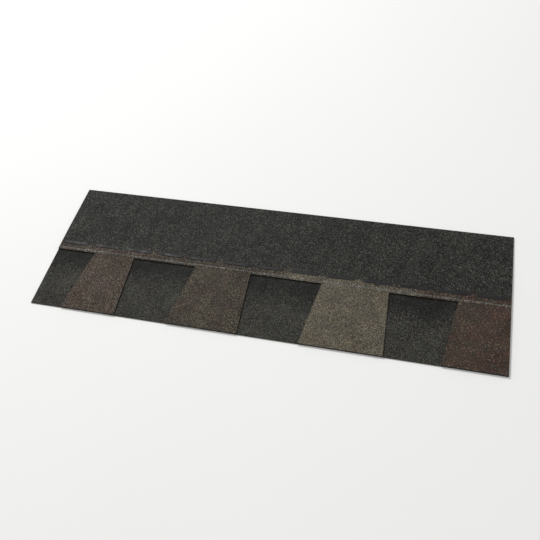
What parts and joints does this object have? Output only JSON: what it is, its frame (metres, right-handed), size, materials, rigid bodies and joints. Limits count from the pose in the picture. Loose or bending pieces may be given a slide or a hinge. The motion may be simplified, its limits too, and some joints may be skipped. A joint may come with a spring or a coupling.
{
  "type": "laminated asphalt shingle",
  "caption": "Laminated asphalt roofing shingle lying flat: a granule-surfaced sheet with flared teeth over a shorter backing strip, with a seal strip and a release film.",
  "frame": {"origin": "centre of the shingle's outline, on the surface that it lies on", "axes": "+X along the course, +Y up the slope from the butt edge to the head edge, +Z out of the weather face"},
  "size_m": [1, 0.337, 0.0061],
  "materials": {
    "weather_granules": "matte",
    "backing_granules": "matte",
    "laminating_asphalt": "satin",
    "sealant": "gloss",
    "film": "gloss"
  },
  "bodies": {
    "root": {"face_sheet": "weather_granules", "backing_strip": "backing_granules", "laminating_adhesive": "laminating_asphalt", "seal_strip": "sealant", "release_film": "film"}
  },
  "joints": []
}
